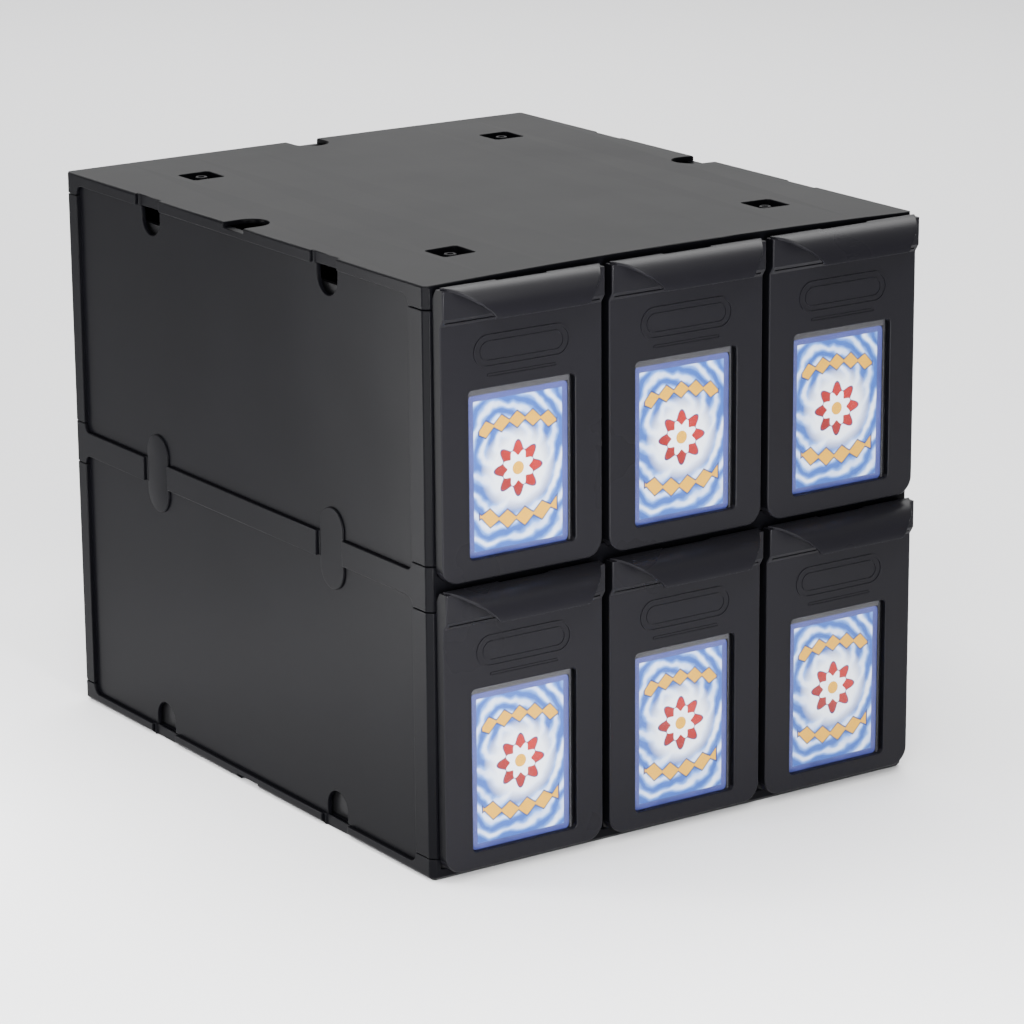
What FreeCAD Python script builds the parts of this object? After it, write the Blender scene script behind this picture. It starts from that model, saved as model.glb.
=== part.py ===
import FreeCAD, Part
import math
import os

# Stackable drawer cabinet for trading cards: two tiers of three drawers between
# snap-together plates, side panels, back panels and bay dividers.  Millimetres.
# X runs across the front, +Y to the back, +Z up; the drawers open towards -Y.

# ---- cabinet ----
cabinet_width = 324.0
cabinet_depth = 385.0
tier_pitch = 162.5            # height of one tier, plate middle to plate middle
corner_chamfer = 2.9          # 45 degree flat down every upright corner
end_rim_height = 6.5          # rim of the top and bottom plates
middle_rim_height = 14.4      # rim of the shared middle plate
skin = 2.6                    # sheet thickness of the plates
top_edge_chamfer = 0.8
base_edge_chamfer = 2.2
corner_block_height = 12.25   # corner blocks of a plate, from its tier line
plate_rib = 2.0
plate_rib_offsets = [-150.0, -50.0, 50.0, 150.0]
seam_gap = 0.5                # open seam between corner blocks and posts
front_crown = 2.4             # rise of the top plate at the middle of its front
rear_crown = 0.3              # and of its rear
crown_facets = 8              # flat strips across the crown

# ---- upright panels ----
field_recess = 2.4            # panel field behind the rims and posts
panel_thickness = 2.6
front_post_length = 16.0
rear_post_length = 12.5
post_thickness = 6.0
tongue_height = 2.2
tongue_thickness = 1.4
tongue_clearance = 0.1
field_corner_radius = 6.0
back_panel_thickness = 2.6

# ---- bays ----
bay_side_room = 3.75          # what the three bays leave of the cabinet's width
bay_pitch = (cabinet_width - bay_side_room) / 3
divider_thickness = 3.0
divider_set_back = 8.0        # divider nose behind the cabinet front
groove_rib = 1.5
groove_rib_height = 3.5
groove_clearance = 0.15

# ---- clips and sockets ----
clip_offset = 95.0            # clip centres in front of and behind the middle
clip_width = 23.7
clip_height = 46.3
clip_proud = 1.3
clip_leg_thickness = 2.8
clip_leg_facets = 6           # flat strips round the end of a leg
clip_edge_chamfer = 0.5
socket_width = 20.5
socket_reach = 22.4           # closed end of a socket from its tier line
socket_shift = 1.1            # a socket sits this far behind its clip's middle
socket_clearance = 0.2
latch_slot = 2.8              # slot beside a clip, on its rear side
latch_half_width = 1.2
latch_proud = 1.0
edge_notch_width = 22.0       # half-pill notches in the plate edges
edge_notch_depth = 22.0
edge_notch_ledge = 3.0

# ---- screw wells in the top plate ----
well_size = 20.5
well_depth = 10.0
well_wall = 2.0
well_corner_cut = 1.5
well_spacing_x = 211.0
well_spacing_y = 262.4
boss_radius = 3.5
boss_drop = 0.2               # boss top below the plate's corners
screw_hole_radius = 1.8

# ---- drawers ----
tray_side_room = 9.35         # bay pitch less the tray's width
tray_top_room = 24.5          # tier pitch less the tray's height
tray_rear_room = 17.0         # cabinet depth less the tray's length
tray_wall = 2.2
tray_corner_cut = 2.5
tray_running_gap = 0.3        # under the tray
tray_rim = 1.0                # inward bead along the tray's top edge
tray_rim_height = 3.0
scoop_width = 40.0            # finger scoop in the tray's back wall
scoop_depth = 28.0
front_gap = 0.6               # drawer front to cabinet front
front_side_room = 4.75        # bay pitch less the front's width
front_lift = 5.3              # bottom of the front above its tier line
front_corner_radius = 10.0
front_face = 2.4              # sheet thickness of the front
body_proud = 7.6              # main face in front of the cabinet front
brow_proud = 10.5             # thicker band behind the pull lip
brow_bottom = 14.0            # bottom of that band below the tier top
brow_slope = 5.0
lip_rise = 0.3                # top of the lip above the tier top
lip_rear = 6.4                # rear edge of the lip in front of the cabinet
lip_reach = 22.0              # lip from its rear edge to its lower edge
lip_drop = 15.1
lip_thickness = 1.6
lip_lap = 0.3                 # the lip's sheet is sunk this far into the brow
lip_inset = 21.0              # each end of the lip sweeps in by this much
lip_sweep = [(0.33, 0.24), (0.6, 0.42), (0.8, 0.62), (0.93, 0.82), (1.0, 1.0)]    # reach, inset
lip_facets = 8                # flat strips round the lip's curve
lip_edge_straight = 55.0
lip_corner_radius = 8.0
lip_corner_turns = [20, 40, 60]    # degrees
lip_notch_width = 31.0
lip_notch_length = 1.8
lip_notch_depth = 2.2
window_width = 67.5
window_height = 91.5
window_bottom = 14.5          # above the tier line
window_corner_radius = 2.5
window_frame_depth = 3.4
pane_margin = 2.0
pocket_tuck = 0.6             # card and pane below the window's lower edge
pocket_wall = 2.0
pane_thickness = 1.0
card_width = 63.0
card_height = 88.0
card_thickness = 0.4
card_corner_cut = 1.6
pocket_clearance = 0.1
pocket_pad_tuck = 0.5         # the tray's pad runs this far into its front wall

# ---- modelling ----
over = 1.0                    # how far a cutting tool runs past what it cuts

# ---- worked-out places ----
half_width = cabinet_width / 2
tray_width = bay_pitch - tray_side_room
tray_height = tier_pitch - tray_top_room
tray_length = cabinet_depth - tray_rear_room
front_width = bay_pitch - front_side_room
rim_width = field_recess + panel_thickness
total_reach = lip_rear + lip_reach
front_y = -(cabinet_depth + total_reach) / 2 + total_reach
rear_y = front_y + cabinet_depth
middle_y = (front_y + rear_y) / 2
tier_lines = [0.0, tier_pitch, 2 * tier_pitch]
tiers = ["lower", "upper"]
field_x = half_width - field_recess
panel_inner_x = field_x - panel_thickness

os.makedirs("parts", exist_ok=True)


def V(x, y, z):
    return FreeCAD.Vector(x, y, z)


def block(x0, x1, y0, y1, z0, z1):
    x0, x1 = sorted((x0, x1))
    y0, y1 = sorted((y0, y1))
    z0, z1 = sorted((z0, z1))
    return Part.makeBox(x1 - x0, y1 - y0, z1 - z0, V(x0, y0, z0))


def prism(points, direction):
    wire = Part.makePolygon(points + [points[0]])
    return Part.Face(wire).extrude(direction)


def fuse(shapes):
    first = shapes[0]
    if len(shapes) == 1:
        return first
    return first.multiFuse(shapes[1:]).removeSplitter()


def cut(shape, tools):
    return shape.cut(tools).removeSplitter() if tools else shape


def mirror_x(shape):
    return shape.mirror(V(0, 0, 0), V(1, 0, 0))


def cut_corner_slab(x0, x1, y0, y1, z0, z1, c):
    """A slab with its upright corners cut at 45 degrees."""
    points = [V(x0 + c, y0, z0), V(x1 - c, y0, z0), V(x1, y0 + c, z0), V(x1, y1 - c, z0),
              V(x1 - c, y1, z0), V(x0 + c, y1, z0), V(x0, y1 - c, z0), V(x0, y0 + c, z0)]
    return prism(points, V(0, 0, z1 - z0))


def cabinet_footprint(z0, z1):
    """The cabinet's outline with its four chamfered corners."""
    return cut_corner_slab(-half_width, half_width, front_y, rear_y, z0, z1, corner_chamfer)


def half_pill_yz(x0, x1, y, z_edge, z_end, width):
    """A slot through an upright panel, from an edge to a round end."""
    radius = width / 2
    sign = 1 if z_end > z_edge else -1
    z_round = z_end - sign * radius
    body = block(x0, x1, y - radius, y + radius, z_edge, z_round)
    end = Part.makeCylinder(radius, abs(x1 - x0), V(min(x0, x1), y, z_round), V(1, 0, 0))
    end = end.common(block(x0, x1, y - radius, y + radius, z_round, z_end))
    return body.fuse(end).removeSplitter()


# ---------------------------------------------------------------- plates
rim_bottom = [0.0, tier_lines[1] - middle_rim_height / 2, tier_lines[2] - end_rim_height]
rim_top = [end_rim_height, tier_lines[1] + middle_rim_height / 2, tier_lines[2]]
block_bottom = [0.0, tier_lines[1] - corner_block_height, tier_lines[2] - corner_block_height]
block_top = [corner_block_height, tier_lines[1] + corner_block_height, tier_lines[2]]
divider_xs = [-bay_pitch / 2, bay_pitch / 2]
groove_half = divider_thickness / 2 + groove_clearance
divider_front = front_y + divider_set_back
divider_rear = rear_y - field_recess - back_panel_thickness
rear_post_x = half_width - rear_post_length


def corner_blocks(z0, z1):
    """Blocks that carry the outline of the posts into a plate."""
    blocks = []
    for side in (-1, 1):
        outer, inner = side * half_width, side * (half_width - post_thickness)
        blocks.append(block(inner, outer, front_y, front_y + front_post_length, z0, z1))
        blocks.append(block(inner, outer, rear_y - rear_post_length, rear_y, z0, z1))
        blocks.append(block(side * rear_post_x, outer, rear_y - rim_width, rear_y, z0, z1))
    return fuse(blocks).common(cabinet_footprint(z0, z1))


def field_corner_webs(level):
    """Rounded inner corners where a plate meets the recessed side fields."""
    webs = []
    ends = []
    if level > 0:
        ends.append((rim_bottom[level], -1, rim_bottom[level] - block_bottom[level]))
    if level < 2:
        ends.append((rim_top[level], 1, block_top[level] - rim_top[level]))
    corners = [(front_y + front_post_length, 1), (rear_y - rear_post_length, -1)]
    for z, up, room in ends:
        radius = min(field_corner_radius, room)
        for y, along in corners:
            web = block(field_x, half_width, y, y + along * radius, z, z + up * radius)
            hollow = Part.makeCylinder(radius, field_recess + 2 * over,
                                       V(field_x - over, y + along * radius, z + up * radius),
                                       V(1, 0, 0))
            web = web.cut(hollow)
            webs += [web, mirror_x(web)]
    return webs


def edge_notches(z0, z1):
    """Half-pill notches in the middle of the left, right and back edges."""
    radius = edge_notch_width / 2
    straight = edge_notch_depth - radius
    notches = []
    for side in (-1, 1):
        edge_x = side * (half_width + over)
        centre_x = side * (half_width - straight)
        notches.append(block(centre_x, edge_x, middle_y - radius, middle_y + radius, z0, z1))
        notches.append(Part.makeCylinder(radius, z1 - z0, V(centre_x, middle_y, z0)))
    notches.append(block(-radius, radius, rear_y - straight, rear_y + over, z0, z1))
    notches.append(Part.makeCylinder(radius, z1 - z0, V(0, rear_y - straight, z0)))
    return notches


def clip_notches(z0, z1):
    """Shallow notches in a rim where the clips pass, each with a latch rib."""
    notches, ribs = [], []
    for y in (middle_y - clip_offset, middle_y + clip_offset):
        y0 = y - clip_width / 2 - socket_clearance
        y1 = y + clip_width / 2 + latch_slot
        for side in (-1, 1):
            notches.append(block(side * field_x, side * (half_width + over), y0, y1,
                                 z0 - over, z1 + over))
            root, tip = side * field_x, side * (field_x + latch_proud)
            latch_y = y1 - latch_slot / 2
            points = [V(root, latch_y - latch_half_width, z0), V(tip, latch_y - latch_half_width / 2, z0),
                      V(tip, latch_y + latch_half_width / 2, z0), V(root, latch_y + latch_half_width, z0)]
            ribs.append(prism(points, V(0, 0, z1 - z0)))
    return notches, ribs


def tongue_grooves(level):
    """Grooves in a rim for the tongues of the side and back panels."""
    width = tongue_thickness + 2 * tongue_clearance
    depth = tongue_height + tongue_clearance
    spans = []
    if level > 0:
        spans.append((rim_bottom[level], rim_bottom[level] + depth))
    if level < 2:
        spans.append((rim_top[level] - depth, rim_top[level]))
    centre_x = field_x - panel_thickness / 2
    centre_y = rear_y - field_recess - back_panel_thickness / 2
    grooves = []
    for z0, z1 in spans:
        for side in (-1, 1):
            grooves.append(block(side * centre_x - width / 2, side * centre_x + width / 2,
                                 front_y + front_post_length, rear_y - rear_post_length, z0, z1))
        grooves.append(block(-rear_post_x, rear_post_x,
                             centre_y - width / 2, centre_y + width / 2, z0, z1))
    return grooves


def crowned_section(y, z0, rise, drop):
    """Points across the top plate: flat below, an arc of flat strips above."""
    z = tier_lines[2] - drop
    edge = half_width - top_edge_chamfer
    points = [V(-half_width, y, z0), V(-half_width, y, z - top_edge_chamfer)]
    for i in range(crown_facets + 1):
        x = edge * (2 * i / crown_facets - 1)
        points.append(V(x, y, z + rise * (1 - (x / half_width) ** 2)))
    points += [V(half_width, y, z - top_edge_chamfer), V(half_width, y, z0)]
    return points


def crowned_top(z0):
    """The top plate's block, its crown fading from the front to the rear."""
    edge = top_edge_chamfer
    sections = [crowned_section(front_y, z0, front_crown, edge),
                crowned_section(front_y + edge, z0, front_crown, 0),
                crowned_section(rear_y - edge, z0, rear_crown, 0),
                crowned_section(rear_y, z0, rear_crown, edge)]
    outlines = [sections[0], sections[-1]]
    for near, far in zip(sections, sections[1:]):
        for i in range(len(near)):
            j = (i + 1) % len(near)
            outlines += [[near[i], near[j], far[j]], [near[i], far[j], far[i]]]
    faces = [Part.Face(Part.makePolygon(outline + [outline[0]])) for outline in outlines]
    shell = Part.makeShell(faces)
    shell.sewShape()
    block_of_top = Part.makeSolid(shell)
    return block_of_top if block_of_top.Volume > 0 else block_of_top.reversed()


def plate(level):
    """A moulded plate: a sheet on top of a rim, with ribs under the sheet."""
    z0, z1 = rim_bottom[level], rim_top[level]
    sheet_z = z1 - skin
    if level == 2:
        body = crowned_top(z0).common(cabinet_footprint(z0, z1 + front_crown + over))
    elif level == 0:
        body = cabinet_footprint(z0, z1)
        body = body.makeChamfer(base_edge_chamfer, bottom_edges(body))
    else:
        body = cabinet_footprint(z0, z1)
    hollow = block(-half_width + rim_width, half_width - rim_width,
                   front_y + rim_width, rear_y - rim_width, z0 - over, sheet_z)
    body = body.cut(hollow)

    ribs = []
    for offset in plate_rib_offsets:
        y = middle_y + offset
        ribs.append(block(-half_width + rim_width, half_width - rim_width,
                          y - plate_rib / 2, y + plate_rib / 2, z0, sheet_z))
    for x in (-bay_pitch, bay_pitch):
        ribs.append(block(x - plate_rib / 2, x + plate_rib / 2,
                          front_y + rim_width, rear_y - rim_width, z0, sheet_z))
    slots = []
    for x in divider_xs:
        for side in (-1, 1):
            near, far = x + side * groove_half, x + side * (groove_half + groove_rib)
            if level > 0:
                ribs.append(block(near, far, divider_front, divider_rear,
                                  z0 - groove_rib_height, sheet_z))
            else:
                ribs.append(block(near, far, front_y + rim_width, rear_y - rim_width, z0, sheet_z))
            if level < 2:
                ribs.append(block(near, far, divider_front, divider_rear,
                                  z1, z1 + groove_rib_height))
        if level > 0:
            slots.append(block(x - groove_half, x + groove_half, divider_front - over,
                               divider_rear + over, z0 - groove_rib_height, sheet_z))
    if level == 2:
        ribs += [well_shell(x, y) for x, y in well_places()]
    if level > 0:
        ribs.append(corner_blocks(block_bottom[level], z0))
    if level < 2:
        ribs.append(corner_blocks(z1, block_top[level]))
    body = fuse([body] + ribs + field_corner_webs(level))

    clip_cuts, latches = clip_notches(z0, z1)
    cuts = slots + tongue_grooves(level) + clip_cuts
    if level == 2:
        cuts += edge_notches(z1 - edge_notch_ledge, z1 + front_crown + over)
        for x, y in well_places():
            cuts.append(well_cut(x, y))
    if level == 0:
        cuts += edge_notches(z0 - over, z0 + edge_notch_ledge)
    body = cut(body, cuts)
    if level == 2:
        body = cut(fuse([body] + [well_boss(x, y) for x, y in well_places()]),
                   [screw_hole(x, y) for x, y in well_places()])
    return fuse([body] + latches)


def bottom_edges(body):
    return [e for e in body.Edges if e.BoundBox.ZMax < 0.01]


def well_places():
    return [(sx * well_spacing_x / 2, middle_y + sy * well_spacing_y / 2)
            for sx in (-1, 1) for sy in (-1, 1)]


def well_shell(x, y):
    half = well_size / 2 + well_wall
    z = tier_lines[2]
    return cut_corner_slab(x - half, x + half, y - half, y + half,
                           z - well_depth - well_wall, z - skin, well_corner_cut + well_wall)


def well_cut(x, y):
    half = well_size / 2
    z = tier_lines[2]
    return cut_corner_slab(x - half, x + half, y - half, y + half,
                           z - well_depth, z + front_crown + over, well_corner_cut)


def well_boss(x, y):
    return Part.makeCylinder(boss_radius, well_depth - boss_drop, V(x, y, tier_lines[2] - well_depth))


def screw_hole(x, y):
    depth = well_depth + well_wall + 2 * over
    return Part.makeCylinder(screw_hole_radius, depth,
                             V(x, y, tier_lines[2] - well_depth - well_wall - over))


# ------------------------------------------------------- upright panels
def side_panel(tier):
    """The right-hand panel of a tier: recessed field, front and rear posts."""
    z0, z1 = rim_top[tier], rim_bottom[tier + 1]
    post_z0, post_z1 = block_top[tier] + seam_gap, block_bottom[tier + 1] - seam_gap
    y0, y1 = front_y + front_post_length, rear_y - rear_post_length
    field = block(panel_inner_x, field_x, y0 - over, y1 + over, z0, z1)
    front_post = block(half_width - post_thickness, half_width, front_y, y0, post_z0, post_z1)
    rear_post = block(half_width - post_thickness, half_width, y1, rear_y, post_z0, post_z1)
    rear_return = block(rear_post_x, half_width, rear_y - rim_width, rear_y, post_z0, post_z1)
    posts = fuse([front_post, rear_post, rear_return])
    posts = posts.common(cabinet_footprint(post_z0, post_z1))
    centre_x = field_x - panel_thickness / 2
    tongue = block(centre_x - tongue_thickness / 2, centre_x + tongue_thickness / 2,
                   y0 + tongue_clearance, y1 - tongue_clearance,
                   z0 - tongue_height, z1 + tongue_height)
    field = field.cut(fuse(corner_clearances(tier, y0, y1)))
    panel = fuse([field, posts, tongue])
    sockets = []
    edges = ((tier, z0 - tongue_height, 1), (tier + 1, z1 + tongue_height, -1))
    for y in (middle_y - clip_offset + socket_shift, middle_y + clip_offset + socket_shift):
        for level, z_edge, up in edges:
            z_end = tier_lines[level] + up * socket_reach
            sockets.append(half_pill_yz(panel_inner_x - over, field_x + over, y,
                                        z_edge - up * over, z_end, socket_width))
    panel = cut(panel, sockets)
    groove_x = rear_post_x
    groove_y = rear_y - field_recess - back_panel_thickness / 2
    width = tongue_thickness + 2 * tongue_clearance
    groove = block(groove_x - over, groove_x + tongue_height + tongue_clearance,
                   groove_y - width / 2, groove_y + width / 2, post_z0 - over, post_z1 + over)
    return cut(panel, [groove])


def corner_clearances(tier, y0, y1):
    """Where the field ends beside the corner blocks of the plates."""
    clear = []
    for z0, z1 in ((rim_top[tier] - over, block_top[tier] + seam_gap),
                   (block_bottom[tier + 1] - seam_gap, rim_bottom[tier + 1] + over)):
        clear.append(block(panel_inner_x - over, field_x + over, y0 - 2 * over, y0, z0, z1))
        clear.append(block(panel_inner_x - over, field_x + over, y1, y1 + 2 * over, z0, z1))
    return clear


def back_panel(tier):
    """A flat panel held by its tongues between the rear posts and the rims."""
    z0, z1 = rim_top[tier], rim_bottom[tier + 1]
    y0 = rear_y - field_recess - back_panel_thickness
    centre_y = y0 + back_panel_thickness / 2
    field = block(-rear_post_x, rear_post_x, y0, rear_y - field_recess, z0, z1)
    upright = block(-rear_post_x - tongue_height, rear_post_x + tongue_height,
                    centre_y - tongue_thickness / 2, centre_y + tongue_thickness / 2,
                    block_top[tier] + seam_gap, block_bottom[tier + 1] - seam_gap)
    level = block(-rear_post_x + tongue_clearance, rear_post_x - tongue_clearance,
                  centre_y - tongue_thickness / 2, centre_y + tongue_thickness / 2,
                  z0 - tongue_height, z1 + tongue_height)
    return fuse([field, upright, level])


def divider(tier, x):
    """A wall between two bays, seated in the grooves of both plates."""
    return block(x - divider_thickness / 2, x + divider_thickness / 2,
                 divider_front, divider_rear, rim_top[tier], rim_top[tier + 1] - skin)


def clip_leg(y, z_edge, z_end, radius):
    """A leg behind the clip, its end inside the round end of the socket."""
    sign = 1 if z_end > z_edge else -1
    z_round = z_end - sign * radius
    points = [V(field_x, y + radius, z_edge)]
    for i in range(clip_leg_facets + 1):
        turn = math.pi * i / clip_leg_facets
        points.append(V(field_x, y + radius * math.cos(turn), z_round + sign * radius * math.sin(turn)))
    points.append(V(field_x, y - radius, z_edge))
    return prism(points, V(-clip_leg_thickness, 0, 0))


def clip(side, y):
    """A pill-shaped clip that ties the two tiers together."""
    zc = tier_lines[1]
    reach = clip_height / 2
    cover = fuse([half_pill_yz(field_x, field_x + clip_proud, y, zc, zc + reach, clip_width),
                  half_pill_yz(field_x, field_x + clip_proud, y, zc, zc - reach, clip_width)])
    rim = [e for e in cover.Edges if e.CenterOfMass.x > field_x + clip_proud - clip_edge_chamfer]
    cover = cover.makeChamfer(clip_edge_chamfer, rim)
    leg_end = socket_reach - socket_clearance
    leg_width = socket_width - 2 * socket_clearance
    legs = []
    for z_edge, sign in ((rim_top[1], 1), (rim_bottom[1], -1)):
        legs.append(clip_leg(y + socket_shift, z_edge + sign * socket_clearance,
                             zc + sign * leg_end, leg_width / 2))
    shape = fuse([cover] + legs)
    return shape if side > 0 else mirror_x(shape)


# --------------------------------------------------------------- drawers
def tray(tier, x):
    """An open box with a finger scoop in its back wall."""
    z0 = rim_top[tier] + tray_running_gap
    z1 = z0 + tray_height
    y0 = front_y - front_gap
    y1 = y0 + tray_length
    half = tray_width / 2
    shell = cut_corner_slab(x - half, x + half, y0, y1, z0, z1, tray_corner_cut)
    hollow = cut_corner_slab(x - half + tray_wall, x + half - tray_wall, y0 + tray_wall,
                             y1 - tray_wall, z0 + tray_wall, z1 - tray_rim_height, tray_corner_cut)
    wall = tray_wall + tray_rim
    mouth = block(x - half + wall, x + half - wall, y0 + wall, y1 - wall,
                  z1 - tray_rim_height - over, z1 + over)
    radius = scoop_width / 2
    scoop_y, scoop_z = y1 - wall - over, z1 - scoop_depth + radius
    scoop = fuse([block(x - radius, x + radius, scoop_y, y1 + over, scoop_z, z1 + over),
                  Part.makeCylinder(radius, wall + 2 * over, V(x, scoop_y, scoop_z), V(0, 1, 0))])
    pad_front = front_y - body_proud + window_frame_depth + pane_thickness + card_thickness
    pocket_x, pocket_z0, pocket_z1 = pocket_size(tier)
    c = pocket_clearance
    pad = block(x - pocket_x + c, x + pocket_x - c, pad_front + c, y0 + pocket_pad_tuck,
                pocket_z0 + c, pocket_z1 - c)
    return cut(fuse([shell, pad]), [hollow, mouth, scoop])


def pocket_size(tier):
    """Half width, bottom and top of the pocket for the pane and the card."""
    z0 = tier_lines[tier] + window_bottom
    return window_width / 2 + pane_margin, z0 - pocket_tuck, z0 + window_height + pane_margin


def front_slab(tier, x, inset):
    """The front's filled outline, drawn in by an inset."""
    half = front_width / 2 - inset
    back, face, brow = -front_gap, -body_proud + inset, -brow_proud + inset
    z0 = tier_lines[tier] + front_lift + inset
    slope_z = tier_lines[tier + 1] - brow_bottom
    z1 = tier_lines[tier + 1] + lip_rise - lip_thickness + lip_lap - inset
    outline = [(back, z0), (face, z0), (face, slope_z - brow_slope), (brow, slope_z), (brow, z1),
               (-lip_rear, z1), (back, z1 - (lip_rear - front_gap))]
    body = prism([V(x - half, front_y + y, z) for y, z in outline], V(2 * half, 0, 0))
    radius = front_corner_radius - inset
    for side in (-1, 1):
        edge = x + side * half
        corner = block(edge, edge - side * radius, front_y - body_proud - over, front_y,
                       z0, z0 + radius)
        arc = Part.makeCylinder(radius, body_proud + 3 * over,
                                V(edge - side * radius, front_y - body_proud - 2 * over,
                                  z0 + radius), V(0, 1, 0))
        body = body.cut(corner.cut(arc))
    return body


def drawer_front(tier, x):
    """The moulded front: body, brow behind the lip, window and pull lip."""
    shell = front_slab(tier, x, 0).cut(front_slab(tier, x, front_face))
    pocket_x, pocket_z0, pocket_z1 = pocket_size(tier)
    window_z0 = tier_lines[tier] + window_bottom
    face_y = front_y - body_proud
    frame_back = face_y + window_frame_depth
    ring = block(x - pocket_x - pocket_wall, x + pocket_x + pocket_wall,
                 face_y + front_face / 2, front_y - front_gap,
                 pocket_z0 - pocket_wall, pocket_z1 + pocket_wall)
    pocket = block(x - pocket_x, x + pocket_x, frame_back, front_y, pocket_z0, pocket_z1)
    window = block(x - window_width / 2, x + window_width / 2, face_y - over,
                   frame_back + over, window_z0, window_z0 + window_height)
    uprights = [e for e in window.Edges if abs(e.tangentAt(e.FirstParameter).y) > 0.9]
    window = window.makeFillet(window_corner_radius, uprights)
    lip_z = tier_lines[tier + 1] + lip_rise
    return cut(fuse([shell, ring, pull_lip(x, lip_z)]), [pocket, window, lip_notch(x, lip_z)])


def quarter_ellipse(x0, x1, rear, centre_z, reach, drop):
    """The filled quarter under an elliptic arc of flat strips, drawn out along X."""
    points = [V(x0, rear, centre_z)]
    for i in range(lip_facets + 1):
        turn = math.pi / 2 * i / lip_facets
        points.append(V(x0, rear - reach * math.sin(turn), centre_z + drop * math.cos(turn)))
    return prism(points, V(x1 - x0, 0, 0))


def lower_corner(x, side, y0, y1, z):
    """What rounds a lower corner of the lip takes away, as flat strips."""
    arc_x, radius = x + side * lip_edge_straight / 2, lip_corner_radius
    points = [V(arc_x, y0, z - over), V(arc_x, y0, z)]
    for turn in lip_corner_turns:
        angle = math.radians(turn)
        points.append(V(arc_x + side * radius * math.sin(angle), y0,
                        z + radius * (1 - math.cos(angle))))
    points += [V(arc_x + side * 2 * radius, y0, points[-1].z),
               V(arc_x + side * 2 * radius, y0, z - over)]
    return prism(points, V(0, y1 - y0, 0))


def pull_lip(x, lip_z):
    """A curved awning: a quarter-ellipse shell trimmed to a swept-in outline."""
    half = front_width / 2
    rear = front_y - lip_rear
    front = rear - lip_reach
    centre_z = lip_z - lip_drop
    shell = quarter_ellipse(x - half, x + half, rear, centre_z, lip_reach, lip_drop)
    shell = shell.cut(quarter_ellipse(x - half - over, x + half + over, rear, centre_z,
                                      lip_reach - lip_thickness, lip_drop - lip_thickness))
    z0, z1 = centre_z - over, lip_z + over
    right = [V(x + half, rear, z0)]
    right += [V(x + half - inset * lip_inset, rear - reach * lip_reach, z0)
              for reach, inset in lip_sweep]
    right.append(right[-1] + V(0, -over, 0))
    left = [V(2 * x - p.x, p.y, p.z) for p in reversed(right)]
    shell = shell.common(prism(right + left, V(0, 0, z1 - z0)))
    return shell.cut([lower_corner(x, side, front - over, rear, centre_z) for side in (-1, 1)])


def lip_notch(x, lip_z):
    """The shallow notch in the middle of the lip's rear edge."""
    return block(x - lip_notch_width / 2, x + lip_notch_width / 2,
                 front_y - lip_rear - lip_notch_length, front_y,
                 lip_z - lip_notch_depth, lip_z + over)


def window_pane(tier, x):
    pocket_x, z0, z1 = pocket_size(tier)
    y = front_y - body_proud + window_frame_depth
    c = pocket_clearance
    return block(x - pocket_x + c, x + pocket_x - c, y, y + pane_thickness, z0, z1 - c)


def label_card(tier, x):
    """The display card that stands behind the pane."""
    pocket_x, z0, z1 = pocket_size(tier)
    y = front_y - body_proud + window_frame_depth + pane_thickness
    card = block(x - card_width / 2, x + card_width / 2, y, y + card_thickness, z0, z0 + card_height)
    corners = [e for e in card.Edges if abs(e.tangentAt(e.FirstParameter).y) > 0.9]
    return card.makeChamfer(card_corner_cut, corners)


# ----------------------------------------------------------------- write
nodes = {}
for level, name in enumerate(["bottom_plate", "middle_plate", "top_plate"]):
    nodes[name] = plate(level)
for tier, tier_name in enumerate(tiers):
    right_panel = side_panel(tier)
    nodes["side_panel_right_" + tier_name] = right_panel
    nodes["side_panel_left_" + tier_name] = mirror_x(right_panel)
    nodes["back_panel_" + tier_name] = back_panel(tier)
    for side_name, x in zip(["left", "right"], divider_xs):
        nodes["divider_" + side_name + "_" + tier_name] = divider(tier, x)
    for bay_name, bay in (("left", -1), ("middle", 0), ("right", 1)):
        drawer = "drawer_" + tier_name + "_" + bay_name
        x = bay * bay_pitch
        nodes[drawer + "_tray"] = tray(tier, x)
        nodes[drawer + "_front"] = drawer_front(tier, x)
        nodes[drawer + "_window"] = window_pane(tier, x)
        nodes[drawer + "_card"] = label_card(tier, x)
for side_name, side in (("left", -1), ("right", 1)):
    for end_name, y in (("front", middle_y - clip_offset), ("rear", middle_y + clip_offset)):
        nodes["clip_" + side_name + "_" + end_name] = clip(side, y)

for name, shape in nodes.items():
    shape.exportStep("parts/" + name + ".step")
    if not shape.isValid() or len(shape.Solids) != 1:
        print(name, "valid", shape.isValid(), "solids", len(shape.Solids))
print(len(nodes), "nodes written")
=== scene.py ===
import math

import bmesh
import bpy
from mathutils import Matrix, Vector


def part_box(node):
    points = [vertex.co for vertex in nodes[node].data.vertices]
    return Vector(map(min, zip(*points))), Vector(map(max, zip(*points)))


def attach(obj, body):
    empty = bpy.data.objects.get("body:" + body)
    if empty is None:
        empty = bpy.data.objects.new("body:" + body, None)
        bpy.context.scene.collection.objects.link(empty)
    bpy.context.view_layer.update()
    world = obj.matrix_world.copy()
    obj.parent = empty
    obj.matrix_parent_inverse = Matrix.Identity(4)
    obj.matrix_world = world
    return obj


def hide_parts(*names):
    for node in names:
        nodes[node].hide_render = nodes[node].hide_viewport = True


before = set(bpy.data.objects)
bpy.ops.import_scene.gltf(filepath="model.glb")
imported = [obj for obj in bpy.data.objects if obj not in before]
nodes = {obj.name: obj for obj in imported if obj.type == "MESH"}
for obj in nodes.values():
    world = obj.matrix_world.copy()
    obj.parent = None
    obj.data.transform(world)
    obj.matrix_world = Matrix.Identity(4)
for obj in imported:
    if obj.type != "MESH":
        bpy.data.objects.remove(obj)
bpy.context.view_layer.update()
print("frame loaded:", len(nodes), "nodes")

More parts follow.
